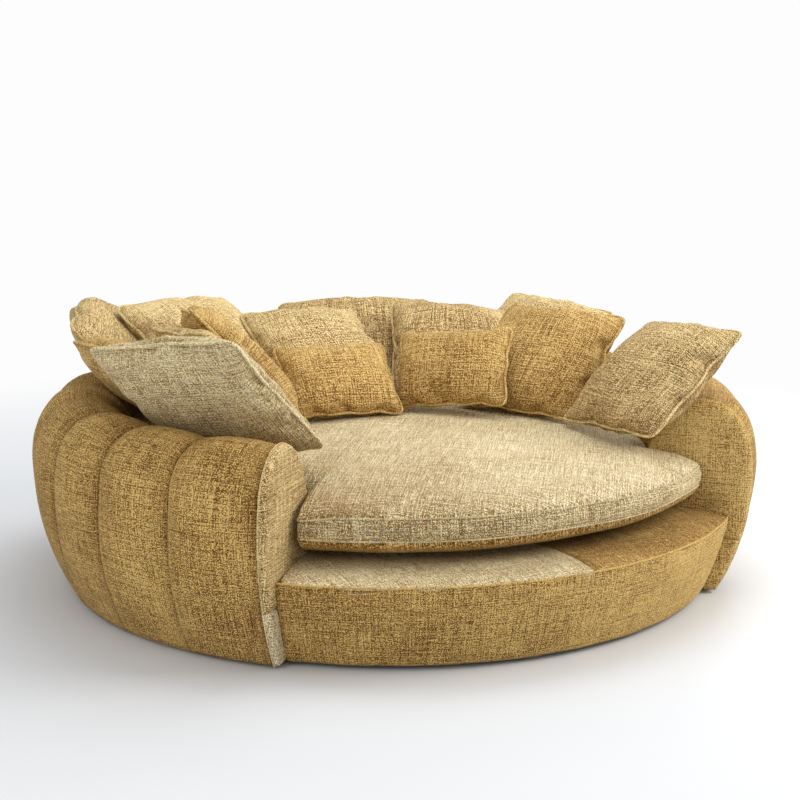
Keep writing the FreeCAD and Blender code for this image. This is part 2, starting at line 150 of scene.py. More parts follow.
soft_lamp("lamp_key", (3.3, -2.6, 2.9), (0, 0, 0.3), 2.4, 120, "fffaf2")
soft_lamp("lamp_top", (0.6, 0.3, 3.4), (0, 0, 0.3), 2.4, 46, "fffdf8")
soft_lamp("lamp_back", (3.0, 1.9, 2.0), (0.2, 0, 0.4), 1.6, 44)
soft_lamp("lamp_left", (-3.6, -2.2, 2.0), (0, 0, 0.3), 2.0, 26, "fff8ec")

FLOOR_HALF = 14.0
# the floor's paint gives way to plain white between these distances from the chair, in metres
PAINT_ENDS, WHITE_BEGINS = 1.5, 3.9
floor_material, ft, floor_out = new_material("painted_studio_floor")
floor_place = add_node(ft, "ShaderNodeTexCoord")
floor_far = add_node(ft, "ShaderNodeVectorMath", {0: floor_place.outputs["Object"]}, operation="LENGTH")
fade = add_node(
    ft, "ShaderNodeMapRange",
    {"Value": floor_far.outputs["Value"], "From Min": PAINT_ENDS, "From Max": WHITE_BEGINS},
)
fade.interpolation_type = "SMOOTHSTEP"
paint = add_node(ft, "ShaderNodeBsdfPrincipled", {"Base Color": linear("dfe3e9"), "Roughness": 0.7})
glow = add_node(ft, "ShaderNodeEmission", {"Color": linear("fdfdfd"), "Strength": 1.0})
blend = add_node(ft, "ShaderNodeMixShader", {0: fade.outputs[0], 1: paint.outputs[0], 2: glow.outputs[0]})
ft.links.new(blend.outputs[0], floor_out.inputs["Surface"])
floor_mesh = bpy.data.meshes.new("floor")
floor_mesh.from_pydata(
    [(x * FLOOR_HALF, y * FLOOR_HALF, 0) for x, y in ((-1, -1), (1, -1), (1, 1), (-1, 1))], [], [(0, 1, 2, 3)]
)
floor = bpy.data.objects.new("floor", floor_mesh)
floor_mesh.materials.append(floor_material)
bpy.context.collection.objects.link(floor)

# %% [markdown]
# ## The chenille
# The cover is a slub chenille: thick and thin yarns woven plain, in straw, mustard and ochre with a
# grey one now and then. Thick places in a yarn show as short bars along it, in both directions, and a
# stray yarn shows as a long line. The pile lies one way on each panel, so that panels differ in
# lightness; the same number per point also carries painted light and shade. The pile breaks up the
# yarns, so noise drawn out along each set of yarns gives the colour, and a plain weave of sines lies
# under it. The pattern uses a UV map that each piece carries in metres, so that it is the same size all over
# the chair.

# %% Chenille
# width of a yarn, and the distance from one crossing of the weave to the next but one
YARN = 2.6 * MM
CROSSING = 7.2 * MM
# shares of the yarn bars, long slubs and flecks in the pattern, and the contrast of their sum
BAR, SLUB, FLECK, CONTRAST = 0.8, 0.5, 2.1, 2.45
# what the weave's crossings and its ribs add to the tone, and the strength of the stray long lines
CROSSING_TONE, RIB_TONE, RARE_GAIN = 0.16, 0.09, 14.0


def chenille(name, dark, middle, light, grey, patch=0.3, grey_share=0.4):
    """Slub chenille: yarn bars both ways, the weave's own relief, soft patches, and a number per point for
    the nap and painted light and shade.
    """
    material, tree, output = new_material(name)
    uv = add_node(tree, "ShaderNodeUVMap", uv_map="cloth").outputs[0]

    def stretched(across, along, swap, offset, detail=2.0):
        """Noise drawn out along one set of yarns."""
        size = (1 / across, 1 / along, 1) if swap else (1 / along, 1 / across, 1)
        place = add_node(
            tree, "ShaderNodeMapping", {"Vector": uv, "Scale": size, "Location": (offset, offset, 0)}
        ).outputs[0]
        return add_node(
            tree, "ShaderNodeTexNoise", {"Vector": place, "Scale": 1.0, "Detail": detail, "Roughness": 0.55}
        ).outputs["Fac"]

    def maths(operation, a, b, clamp=False):
        return add_node(tree, "ShaderNodeMath", {0: a, 1: b}, operation=operation, use_clamp=clamp).outputs[0]

    weft = stretched(YARN, 7 * YARN, False, 3.1)
    warp = stretched(YARN, 6 * YARN, True, 7.7)
    slub_weft = stretched(1.7 * YARN, 46 * YARN, False, 13.0, 1.0)
    slub_warp = stretched(1.9 * YARN, 38 * YARN, True, 17.0, 1.0)
    fleck = stretched(0.95 * YARN, 1.25 * YARN, True, 23.0, 1.0)
    cloud = add_node(tree, "ShaderNodeTexNoise", {"Vector": uv, "Scale": 5.5, "Detail": 3.0}).outputs["Fac"]
    # a number per point for the pile's lie, which also carries painted light and shade
    nap_and_painted_light = add_node(tree, "ShaderNodeAttribute", attribute_name="nap_and_painted_light").outputs["Fac"]

    def rare(noise_value):
        """Signed cube of a noise: nought nearly everywhere, with a strong line here and there."""
        off = maths("SUBTRACT", noise_value, 0.5)
        return maths("MULTIPLY", maths("MULTIPLY", off, off), maths("MULTIPLY", off, RARE_GAIN))

    lines = maths("ADD", rare(stretched(1.1 * YARN, 80 * YARN, False, 41.0, 0.0)),
                  rare(stretched(1.1 * YARN, 60 * YARN, True, 47.0, 0.0)))
    # plain weave: a yarn of each set is on top at every second crossing, and the yarns wander a little
    axes = add_node(tree, "ShaderNodeSeparateXYZ", {0: uv}).outputs
    wander = add_node(tree, "ShaderNodeTexNoise", {"Vector": uv, "Scale": 45.0, "Detail": 1.0}).outputs["Fac"]
    wander = maths("MULTIPLY", maths("SUBTRACT", wander, 0.5), 5.0)
    turns = 2 * math.pi / CROSSING
    over = maths("SINE", maths("ADD", maths("MULTIPLY", axes[0], turns), wander), 0.0)
    under = maths("SINE", maths("SUBTRACT", maths("MULTIPLY", axes[1], turns), wander), 0.0)
    weave = maths("MULTIPLY", over, under)
    ribs = maths("ADD", over, under)
    bars = maths("ADD", maths("MULTIPLY", weft, BAR), maths("MULTIPLY", warp, BAR))
    slubs = maths("ADD", maths("MULTIPLY", slub_weft, SLUB), maths("MULTIPLY", slub_warp, SLUB))
    mixed = maths("ADD", maths("ADD", bars, slubs), maths("MULTIPLY", fleck, FLECK))
    mixed = maths("ADD", mixed, maths("MULTIPLY", cloud, patch))
    # all these noises sit round a half, so taking half their weights away brings the sum to nought
    centre = (2 * BAR + 2 * SLUB + FLECK + patch) / 2
    yarns = maths("MULTIPLY", maths("SUBTRACT", mixed, centre), CONTRAST)
    cross = maths("ADD", maths("MULTIPLY", weave, CROSSING_TONE), maths("MULTIPLY", ribs, RIB_TONE))
    tone = maths("ADD", maths("ADD", maths("ADD", yarns, cross), lines), nap_and_painted_light, True)
    ramp = add_node(tree, "ShaderNodeValToRGB", {"Fac": tone})
    stops = ramp.color_ramp.elements
    stops[0].position, stops[0].color = 0.12, linear(dark)
    stops[1].position, stops[1].color = 0.88, linear(light)
    half = stops.new(0.48)
    half.color = linear(middle)
    odd = stretched(1.3 * YARN, 9 * YARN, True, 31.0, 1.0)
    odd = add_node(
        tree, "ShaderNodeMapRange", {"Value": odd, "From Min": 0.52, "From Max": 0.66, "To Max": grey_share}
    ).outputs[0]
    base = add_node(
        tree, "ShaderNodeMix", {0: odd, 6: ramp.outputs["Color"], 7: linear(grey)}, data_type="RGBA"
    )
    relief = maths("ADD", maths("ADD", maths("MULTIPLY", fleck, 1.2), bars), maths("MULTIPLY", ribs, 0.35))
    bump = add_node(tree, "ShaderNodeBump", {"Height": relief, "Strength": 0.8, "Distance": 1.7 * MM})
    shader = add_node(
        tree, "ShaderNodeBsdfPrincipled",
        {
            "Base Color": base.outputs[2], "Roughness": 0.86, "Specular IOR Level": 0.22,
            "Sheen Weight": 0.16, "Sheen Roughness": 0.45, "Sheen Tint": linear("efd590"),
            "Normal": bump.outputs[0],
        },
    )
    tree.links.new(shader.outputs[0], output.inputs["Surface"])
    return material


CLOTH = chenille("slub_chenille_mustard", "5c360a", "986a1d", "e3c077", "8a7f5e")
CLOTH_GOLD = chenille("slub_chenille_gold", "633c0c", "a5782a", "f0daa2", "908974")
CLOTH_PALE = chenille("slub_chenille_straw", "7d5c28", "c3a566", "f6ebc8", "a09a8c", 0.28, 0.5)
CLOTH_WARM = chenille("slub_chenille_ochre", "643a0c", "a97629", "e6c883", "8b7e58", 0.35, 0.3)
CLOTH_MIXED = chenille("slub_chenille_straw_and_grey", "6f4f20", "b39353", "f2e4ba", "9a9382", 0.3, 0.6)
print("chenille in", len([m for m in bpy.data.materials if m.name.startswith("slub")]), "lots")

# %% [markdown]
# ## Making a soft piece
# Every cover starts as a grid of points, because a grid gives clean cloth: its rows are one set of
# yarns and its columns the other. The helper turns a grid into a closed mesh with its UV map in
# metres and a number per point that makes the cloth paler or darker, for the pile's lie and as painted light
# and shade.

# %% Grid to piece


def ripple(x, y, size, seed):
    """Smooth random number from about -1 to 1 that changes over a size in metres."""
    return noise.noise(Vector((x / size + seed * 3.7, y / size - seed * 1.9, seed * 5.3)))


def finish_piece(obj, body, nodes, cloth):
    """Gives a piece its cloth, smooth shading and its body, and hides the solids it stands for."""
    obj.data.materials.append(cloth)
    obj.data.polygons.foreach_set("use_smooth", [True] * len(obj.data.polygons))
    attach(obj, body)
    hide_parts(*nodes)
    return obj


def build_mesh(name, points, faces, uv, nap_and_painted_light):
    """Object from points and faces, with one UV per face corner and one value per point for the nap and
    painted light and shade.
    """
    mesh = bpy.data.meshes.new(name)
    mesh.from_pydata([tuple(p) for p in points], [], [tuple(f) for f in faces])
    layer = mesh.uv_layers.new(name="cloth")
    layer.data.foreach_set("uv", np.asarray([c for face in uv for c in face], float).ravel())
    # per-point value for the nap and painted light and shade
    tone = mesh.attributes.new("nap_and_painted_light", "FLOAT", "POINT")
    tone.data.foreach_set("value", np.asarray(nap_and_painted_light, float))
    obj = bpy.data.objects.new(name, mesh)
    bpy.context.collection.objects.link(obj)
    mesh.validate()
    return obj


def grid_faces(rows, columns, wrap, start=0):
    """Quads of a grid and the row and column of each corner."""
    faces, corners = [], []
    for i in range(rows - 1):
        for j in range(columns if wrap else columns - 1):
            k = (j + 1) % columns
            faces.append((start + i * columns + j, start + (i + 1) * columns + j,
                          start + (i + 1) * columns + k, start + i * columns + k))
            corners.append(((i, j), (i + 1, j), (i + 1, j + 1), (i, j + 1)))
    return faces, corners


def closed_grid(name, sections, uv_of, nap_and_painted_light, cords=()):
    """Closed piece from equal closed sections in a row, with flat ends."""
    rows, columns = len(sections), len(sections[0])
    points = [p for section in sections for p in section]
    nap_and_painted_light = list(nap_and_painted_light)
    faces, corners = grid_faces(rows, columns, True)
    uv = [[uv_of(i, j) for i, j in face] for face in corners]
    for row, turn in ((0, 1), (rows - 1, -1)):
        end = [row * columns + j for j in range(columns)][::turn]
        faces.append(end)
        uv.append([uv_of(row, j % columns) for j in range(columns)][::turn])
    for cord, tone in cords:
        sew_cord(points, faces, uv, nap_and_painted_light, cord, tone)
    return build_mesh(name, points, faces, uv, nap_and_painted_light)


# %% Seam cords


CORD_SIDES = 8
CORD_UV = 3 * MM
# radii of the cords sewn into the seams of the arm panels, the border and the seat cushion
PANEL_CORD, BORDER_CORD, CUSHION_CORD = 2.6 * MM, 3.0 * MM, 2.4 * MM


def cord_along(loop, out, radius, closed=True):
    """Thin roll of cloth along a seam, whose outward way is out: its points, its faces and their UVs."""
    sides = CORD_SIDES
    loop, out = np.array(loop), np.array(out)
    ahead = np.roll(loop, -1, 0) - np.roll(loop, 1, 0)
    if not closed:
        ahead[0], ahead[-1] = loop[1] - loop[0], loop[-1] - loop[-2]
    ahead /= np.linalg.norm(ahead, axis=1)[:, None]
    out = out - ahead * np.sum(out * ahead, axis=1)[:, None]
    out /= np.linalg.norm(out, axis=1)[:, None]
    over = np.cross(out, ahead)
    run = np.concatenate([[0], np.cumsum(np.linalg.norm(np.diff(loop, axis=0), axis=1))])
    points, faces, uv = [], [], []
    for p, o, v, s in zip(loop, out, over, run):
        thick = radius * (1 + 0.14 * ripple(s, 0, 0.03, 77))
        for m in range(sides):
            a = 2 * math.pi * m / sides
            points.append(p + (o * math.cos(a) + v * math.sin(a)) * thick)
    count = len(loop)
    for k in range(count if closed else count - 1):
        n = (k + 1) % count
        for m in range(sides):
            w = (m + 1) % sides
            faces.append((k * sides + m, k * sides + w, n * sides + w, n * sides + m))
            near, far = run[k], run[k] + 0.01 if n == 0 else run[n]
            low, high = m * CORD_UV, (m + 1) * CORD_UV
            uv.append([(near, low), (near, high), (far, high), (far, low)])
    if not closed:
        for k, turn in ((0, -1), (count - 1, 1)):
            faces.append([k * sides + m for m in range(sides)][::turn])
            uv.append([(run[k], m * CORD_UV) for m in range(sides)][::turn])
    return points, faces, uv


def sew_cord(points, faces, uv, nap_and_painted_light, cord, tone):
    """Adds a cord's points, faces, UVs and tone to those of a piece."""
    start = len(points)
    points.extend(cord[0])
    faces.extend(tuple(start + v for v in face) for face in cord[1])
    uv.extend(cord[2])
    nap_and_painted_light.extend([tone] * len(cord[0]))


# %% [markdown]
# ## The shell
# Nineteen padded channels stand side by side round the chair and roll over its top. On the real one
# each is a sewn sleeve filled with foam and fibre, so that it is full in the middle and pulled in
# hard at the seams. Here one section, made of arcs that run into each other, is swept round the
# chair, and its fullness follows the place across the channel.

# %% Wall section
ARM_FACE = 43.5
CHANNELS = 19
BOTTOM = 12 * MM
PANEL_T = 22 * MM
WALL_START = ARM_FACE + math.degrees(PANEL_T / (0.5 * (1092 + 785) * MM))
PITCH = (360 - 2 * WALL_START) / CHANNELS
# the section starts at its outer bottom edge, at this radius and height in mm, and leaves it at this slope
WALL_FOOT, FOOT_SLOPE = (1000.0, 12.0), 60.0
# joins of the section's arcs: radius and height in mm, the way each moves as the channel fills out, and
# the number of points on the arc that ends there
WALL_JOINS = (
    (1092, 357, 1, 0, 28), (1083, 455, 1, 0.1, 8), (1036, 543, 0.6, 0.8, 8), (941, 577, 0, 1, 8),
    (829, 505, -0.8, 0.55, 11), (785, 300, -1, 0, 16),
)
# then it runs straight down to the deck in four steps
DECK_EDGE, DECK_STEPS = (794, 250), 4


def arc_points(start, middle, end, count):
    """Points on the circle through three points, without the first."""
    a, b, c = (complex(*p) for p in (start, middle, end))
    w = (c - a) / (b - a)
    centre = (b - a) * (w - abs(w) ** 2) / (2j * w.imag) + a
    turn = np.angle((c - centre) / (a - centre))
    half = np.angle((b - centre) / (a - centre))
    if turn * half < 0:
        turn += math.copysign(2 * math.pi, half)
    swept = (centre + (a - centre) * np.exp(1j * turn * k / count) for k in range(1, count + 1))
    return [(p.real, p.imag) for p in swept]


def wall_skin(rise):
    """Points of the soft skin from the outer bottom edge over the top to the deck, in metres."""
    start, slope = WALL_FOOT, FOOT_SLOPE
    points = [start]
    for r, z, out, up, count in WALL_JOINS:
        end = (r + out * rise, z + up * rise)
        dr, dz = end[0] - start[0], end[1] - start[1]
        chord = math.degrees(math.atan2(dz, dr))
        turn = (chord - slope + 180) % 360 - 180
        lift = math.hypot(dr, dz) / 2 * math.tan(math.radians(turn) / 2)
        away = math.radians(chord - 90)
        middle = (
            (start[0] + end[0]) / 2 + lift * math.cos(away), (start[1] + end[1]) / 2 + lift * math.sin(away)
        )
        points += arc_points(start, middle, end, count)
        start, slope = end, slope + 2 * turn
    last = (DECK_EDGE[0] - 0.6 * rise, DECK_EDGE[1])
    for k in range(1, DECK_STEPS + 1):
        points.append(tuple(a + (b - a) * k / DECK_STEPS for a, b in zip(start, last)))
    return [(r * MM, z * MM) for r, z in points]


SKIN = wall_skin(0)
SKIN_RUN = np.concatenate([[0], np.cumsum(np.hypot(*np.diff(np.array(SKIN), axis=0).T))])
print("skin has", len(SKIN), "points over", round(float(SKIN_RUN[-1]), 3), "m")

# %% Channels
ACROSS = 20
# fullness of a channel's middle in mm, how far its sides round off, and the sharper fold at its seams
FULL, ROUNDED, FOLD = 9.0, 16.0, 7.0
# heights in mm of the small puckers by the seams and of the slack cloth between them
PUCKER, SLACK = 2.6, 2.4
# radius in metres at which the cloth's pattern has its true width, and how far along and across the
# roll of cloth the next channel is cut
CLOTH_R, NEXT_CUT = 1.06, (0.613, 0.291)
# the hard back of a channel, radius and height in mm
BACK_LINE = ((868, 252), (868, 500), (982, 500), (982, 102), (947, 14))


def channel_rise(u, run, seed):
    """How far the skin stands out at u from -1 to 1 across a channel, with puckers by the seams."""
    full = FULL - ROUNDED * abs(u) ** 2.3 - FOLD * abs(u) ** 12
    pucker = PUCKER * ripple(run, 0.4 * u, 0.035, seed) * abs(u) ** 3 * (1 - abs(u) ** 12)
    slack = SLACK * ripple(run, u, 0.16, seed + 40)
    return full + pucker + slack * (1 - abs(u) ** 4)


def channel(index):
    """One padded channel, number 1 at the right arm."""
    seed = index * 1.37
    base = {k: wall_skin(k) for k in (-20, 0, 20)}
    sections, nap_and_painted_light = [], []
    for i in range(ACROSS + 1):
        share = 0.5 - 0.5 * math.cos(math.pi * i / ACROSS)
        share = 0.55 * share + 0.45 * i / ACROSS
        u = 2 * share - 1
        angle = WALL_START + (index + share) * PITCH
        ring = []
        for j, run in enumerate(SKIN_RUN):
            rise = channel_rise(u, run, seed)
            end_fade = min(1.0, run / 0.03, (SKIN_RUN[-1] - run) / 0.05)
            rise = rise * end_fade - 4 * (1 - end_fade)
            low, high = np.array(base[-20][j]), np.array(base[20][j])
            r, z = low + (high - low) * (rise + 20) / 40
            ring.append(at(angle, r, max(z, BOTTOM)))
            # painted shade: the cloth is painted darker towards the seams, where the channel pinches in
            light = 0.5 + 0.1 * ripple(u * 0.15, run, 0.11, seed + 9) - 0.22 * abs(u) ** 8
            # painted highlight: a pale line along one side of each seam
            light += 0.3 * math.exp(-((u + 0.94) / 0.05) ** 2)
            nap_and_painted_light.append(light + 0.05 * ((index * 7) % 5 - 2) / 2)
        for r, z in BACK_LINE:
            half = math.radians(PITCH / 2)
            chord = math.cos(half) / math.cos(half * u)
            ring.append(at(angle, r * MM * chord, z * MM))
            nap_and_painted_light.append(0.5)
        sections.append(ring)
    width = math.radians(PITCH) * CLOTH_R

    def uv_of(i, j):
        run = SKIN_RUN[min(j, len(SKIN_RUN) - 1)]
        return (i / ACROSS * width + index * NEXT_CUT[0], run + index * NEXT_CUT[1])

    name = "channel_%02d" % (index + 1)
    obj = closed_grid("cover_" + name, sections, uv_of, nap_and_painted_light)
    return finish_piece(obj, "shell", [name], CLOTH)


for number in range(CHANNELS):
    channel(number)
print("channels", CHANNELS, "pitch", round(PITCH, 2), "degrees")

# %% [markdown]
# ## Arm ends
# A flat padded panel closes each end of the wall, and a level seam cuts off its lowest part. It is
# filled from its outline inwards: the rim is rounded over and the middle is nearly flat.

# %% Arm end panels
SEAM_Z = 172 * MM
# the hard edge behind the panel, from the deck down to the floor, radius and height in metres
PANEL_BACK = [(0.87, 0.25), (0.87, 0.2), (0.937, 0.03), (0.937, 0.0125)]
PANEL_STEP = 0.011
# how pale each piece is: by side, where the right arm is painted paler as painted light, and whether it is
# the lower strip, whose pile lies another way
PANEL_PILE_AND_LIGHT = {(-1, True): 0.66, (-1, False): 0.58, (1, False): 0.8, (1, True): 0.8}
# how far each row of the rim stands off the wall's end, and how far outside the outline
RIM = ((0, 0), (3, 1), (8, 2.5), (14, 1), (19, -3), (22, -10), (23.5, -22))


def panel(side, lower):
    """Upper or lower piece of the panel on one side: -1 is the left arm, 1 the right."""
    polygon = even_loop(clip_level(SKIN + PANEL_BACK, SEAM_Z, lower), PANEL_STEP)
    normals = loop_normals(polygon)
    angle = side * WALL_START
    way = np.array((math.cos(math.radians(angle)), math.sin(math.radians(angle)), 0)) * -side
    sections, nap_and_painted_light = [], []
    rows = [(out * MM, inset * MM) for out, inset in RIM]
    # cloth that lies between each row and the last, so that the rim can be laid flat for its UVs
    rolled = [sum(math.dist(a, b) for a, b in zip(rows[k:], rows[k + 1:])) for k in range(len(rows))]
    # on the right arm part of this value is painted light
    pale = PANEL_PILE_AND_LIGHT[side, lower]
    for out, inset in rows:
        ring = []
        for p, n in zip(polygon, normals):
            q = p + n * inset
            ring.append(np.array(at(angle, q[0], max(q[1], BOTTOM))) + way * out)
            nap_and_painted_light.append(pale + 0.12 * ripple(q[0], q[1], 0.12, 3 + side))
        sections.append(ring)
    rim_loop = polygon + normals * rows[-1][1]
    flat_rows = []
    for share in (0.3, 0.6, 0.85):
        ring = []
        flat_rows.append([q + (spine_of(q, lower) - q) * share for q in rim_loop])
        for p in flat_rows[-1]:
            out = rows[-1][0] + 0.0006 * ripple(p[0], p[1], 0.06, 5)
            ring.append(np.array(at(angle, p[0], p[1])) + way * out)
            nap_and_painted_light.append(pale + 0.12 * ripple(p[0], p[1], 0.12, 3 + side))
        sections.append(ring)
    columns = len(polygon)
    seam = [np.array(at(angle, *(p + n * 2 * MM))) + way * 4 * MM for p, n in zip(polygon, normals)]
    away = [np.array(at(angle, *(p + n * 0.1))) - np.array(at(angle, *p)) for p, n in zip(polygon, normals)]
    cord = cord_along(seam, away, PANEL_CORD)

    def uv_of(i, j):
        j = (columns - j if side > 0 else j) % columns
        if i < len(rows):
            p = rim_loop[j] + normals[j] * rolled[i]
        else:
            p = flat_rows[i - len(rows)][j]
        return (p[0] + side * 0.37, p[1] + (0.6 if lower else 0.0))

    word = "left" if side < 0 else "right"
    name = ("arm_strip_" if lower else "arm_panel_") + word
    if side > 0:
        # turned about its first point, so that the faces still look outwards
        sections = [row[:1] + row[:0:-1] for row in sections]
        rows_of_nap_and_painted_light = [nap_and_painted_light[k:k + columns] for k in range(0, len(nap_and_painted_light), columns)]
        nap_and_painted_light = [v for row in rows_of_nap_and_painted_light for v in row[:1] + row[:0:-1]]
    obj = closed_grid("cover_" + name, sections, uv_of, nap_and_painted_light, [(cord, 0.85)])
    cloth = (CLOTH_PALE if lower else CLOTH_GOLD) if side < 0 else CLOTH_WARM
    return finish_piece(obj, "shell", [name], cloth)


def clip_level(loop, level, keep_below):
    """The part of a closed loop of (r, z) below or above a level."""
    out = []
    for a, b in zip(loop, loop[1:] + loop[:1]):
        a_in = (a[1] < level) == keep_below
        b_in = (b[1] < level) == keep_below
        if a_in:
            out.append(a)
        if a_in != b_in:
            t = (level - a[1]) / (b[1] - a[1])
            out.append((a[0] + (b[0] - a[0]) * t, level))
    return out


def even_loop(loop, step):
    """The loop again with points at an even spacing, which keeps the cloth's squares alike."""
    p = np.array(loop + loop[:1])
    run = np.concatenate([[0], np.cumsum(np.hypot(*np.diff(p, axis=0).T))])
    count = int(run[-1] / step)
    s = np.arange(count) * run[-1] / count
    return np.column_stack([np.interp(s, run, p[:, 0]), np.interp(s, run, p[:, 1])])


def loop_normals(loop):
    """Outward normals of a closed loop, smoothed so that an offset stays even at its corners."""
    ahead, behind = np.roll(loop, -1, 0), np.roll(loop, 1, 0)
    tangent = ahead - behind
    n = np.column_stack([tangent[:, 1], -tangent[:, 0]])
    area = 0.5 * np.sum(loop[:, 0] * ahead[:, 1] - loop[:, 1] * ahead[:, 0])
    n *= np.sign(area)
    for _ in range(3):
        n = (np.roll(n, 1, 0) + 2 * n + np.roll(n, -1, 0)) / 4
    return n / np.linalg.norm(n, axis=1)[:, None]


def spine_of(q, lower):
    """The place on the panel's middle line that a rim point is filled towards."""
    if lower:
        return np.array((np.clip(q[0], 0.97, 1.0), 0.095))
    return np.array((0.935, np.clip(q[1], 0.235, 0.47)))


for side in (-1, 1):
    panel(side, False)
    panel(side, True)

# %% [markdown]
# ## Seat platform
# The front of the base is one long padded border between the arms, sewn to the deck along a curved
# seam. The deck is two pieces with a radial seam a little right of the middle, and their pile lies
# different ways: the left looks grey and the right orange.

# %% Front border
# foot and head of the border's face and its hard back, radius and height in mm
BORDER_FOOT, BORDER_HEAD = (964, 12), (1035, 242)
BORDER_BACK = [(1018, 240), (1007, 225), (942, 16), (950, 12.5)]
BORDER_BULGE = 9.5
BORDER_ROWS, BORDER_COLUMNS = 24, 120
# what one row takes of the pattern's height, and one degree of its width, in metres
ROW_UV, DEGREE_RUN = 10.2 * MM, 0.018


def side_limit(r):
    """Angle of the arm's face at a radius."""
    return WALL_START - math.degrees(math.asin(PANEL_T / r))


def border():
    """Padded band of the base front, with a cord in its top seam. It is painted paler to the right, as
    painted light.
    """
    columns, last = BORDER_COLUMNS, BORDER_ROWS
    profile = []
    for k in range(last + 1):
        t = k / last
        r, z = (a + (b - a) * t for a, b in zip(BORDER_FOOT, BORDER_HEAD))
        profile.append((r + BORDER_BULGE * (4 * t * (1 - t)) ** 0.7, z))
    profile += BORDER_BACK
    sections, nap_and_painted_light = [], []
    for i in range(columns, -1, -1):
        ring = []
        for k, (r, z) in enumerate(profile):
            limit = side_limit(r * MM)
            angle = -limit + 2 * limit * i / columns
            arc = angle * DEGREE_RUN
            wave = 1.8 * ripple(arc, z * MM, 0.09, 2) if k <= last else 0
            edge = -2.5 * math.exp(-min(k, last - k) * 2.0) if k <= last else 0
            low = 1.6 * (1 + ripple(arc, 0, 0.12, 8)) if k in (0, len(profile) - 1) else 0
            ring.append(at(angle, (r + wave + edge) * MM, (z + low) * MM))
            # painted light: the band is painted paler towards the right
            nap_and_painted_light.append(0.66 + 0.1 * ripple(arc, z * MM, 0.2, 6) + 0.22 * angle / 40)
        sections.append(ring)
    width = 2 * math.radians(43) * 1.03

    def uv_of(i, j):
        return (i / columns * width + 3.3, min(j, last) * ROW_UV + 1.7)

    seam = [row[last] for row in sections]
    out = [(p[0], p[1] - SHELL_Y, 0.9) for p in seam]
    cords = [(cord_along(seam, out, BORDER_CORD, closed=False), 1.0)]
    obj = closed_grid("cover_front_border", sections, uv_of, nap_and_painted_light, cords)
    return finish_piece(obj, "shell", ["front_border"], CLOTH)


border()

# %% Deck
DECK_SEAM = 3.0
DECK_COLUMNS, DECK_ROWS = 90, 44
# radii in metres of a pad's middle, of its edge under the wall and of its edge on the border
DECK_INNER, DECK_BACK, DECK_FRONT = 0.02, 0.8, 1.033
DECK_Z, DECK_UNDER = 250.0, 225.5 * MM
# in the opening a pad swells from this radius by this much, and its edge is pulled down to the seam, in mm
SWELL_R, SWELL, PULLED_DOWN = 0.78, 8.5, 7.0
DECK_NAP = {-1: 0.6, 1: 0.33}


def deck(side):
    """Half of the deck, from under the cushion to the seam on the border."""
    columns, rows = DECK_COLUMNS, DECK_ROWS
    limit = side_limit(0.99)
    points, nap_and_painted_light = [], []
    for i in range(columns + 1):
        turn = (DECK_SEAM + side * 180 * (i / columns) + 180) % 360 - 180
        opening = 0.5 - 0.5 * math.tanh((abs(turn) - limit) / 0.4)
        reach = DECK_BACK + (DECK_FRONT - DECK_BACK) * opening
        for k in range(rows + 1):
            s = 1 - (1 - k / rows) ** 1.7
            r = DECK_INNER + (reach - DECK_INNER) * s
            z = DECK_Z
            if r > SWELL_R:
                g = min((r - SWELL_R) / (DECK_FRONT - SWELL_R), 1)
                z += SWELL * math.sin(math.pi * g) ** 0.8 - PULLED_DOWN * g ** 5
                z += 1.2 * ripple(turn * 0.017, r, 0.08, 12) * min(1, (1 - g) * 4)
            points.append(at(turn, r, z * MM))
            nap_and_painted_light.append(DECK_NAP[side] + 0.08 * ripple(turn * 0.017, r, 0.15, 4))
    under = [(x, y, DECK_UNDER) for x, y, z in points]
    count = len(points)
    faces, corners = grid_faces(columns + 1, rows + 1, False)

    def uv_of(i, j):
        p = points[i * (rows + 1) + j]
        return (p[0] + side, p[1])

    uv = [[uv_of(i, j) for i, j in face] for face in corners]
    # the underside, and the wall between the two
    below = [tuple(count + v for v in face[::-1]) for face in faces]
    uv_below = [list(u[::-1]) for u in uv]
    rim = [i * (rows + 1) for i in range(columns + 1)]
    loop = list(range(rows + 1)) + [i * (rows + 1) + rows for i in range(1, columns + 1)]
    loop += [columns * (rows + 1) + j for j in range(rows - 1, -1, -1)] + rim[-2:0:-1]
    wall, uv_wall = [], []
    for a, b in zip(loop, loop[1:] + loop[:1]):
        wall.append((a, b, count + b, count + a))
        near, far = points[a][0], points[b][0]
        uv_wall.append([(near, 0), (far, 0), (far, 0.03), (near, 0.03)])
    faces += below + wall
    uv += uv_below + uv_wall
    if side > 0:
        faces = [f[::-1] for f in faces]
        uv = [u[::-1] for u in uv]
    name = "deck_pad_" + ("left" if side < 0 else "right")
    obj = build_mesh("cover_" + name, points + under, faces, uv, nap_and_painted_light + nap_and_painted_light)
    return finish_piece(obj, "shell", [name], CLOTH_PALE if side < 0 else CLOTH_WARM)


deck(-1)
deck(1)

# %% [markdown]
# ## Seat cushion
# The loose cushion is a thick round pad with a boxed band at its front, wider than the opening
# between the arms so that its front corners stick out like ears. The band is a strip sewn between
# two seams and it is puckered where the filling is short of cloth. The top is a low dome.

# %% Seat cushion
FRONT_R = 930 * MM
WALL_R = 774 * MM
EAR = WALL_START - math.degrees((PANEL_T + 3 * MM) / WALL_R)
# how far the worn right front has slumped forward, and the degrees over which each ear rounds off
SLUMP = 20 * MM
LEFT_ROUND, RIGHT_ROUND = 1.0, 1.8


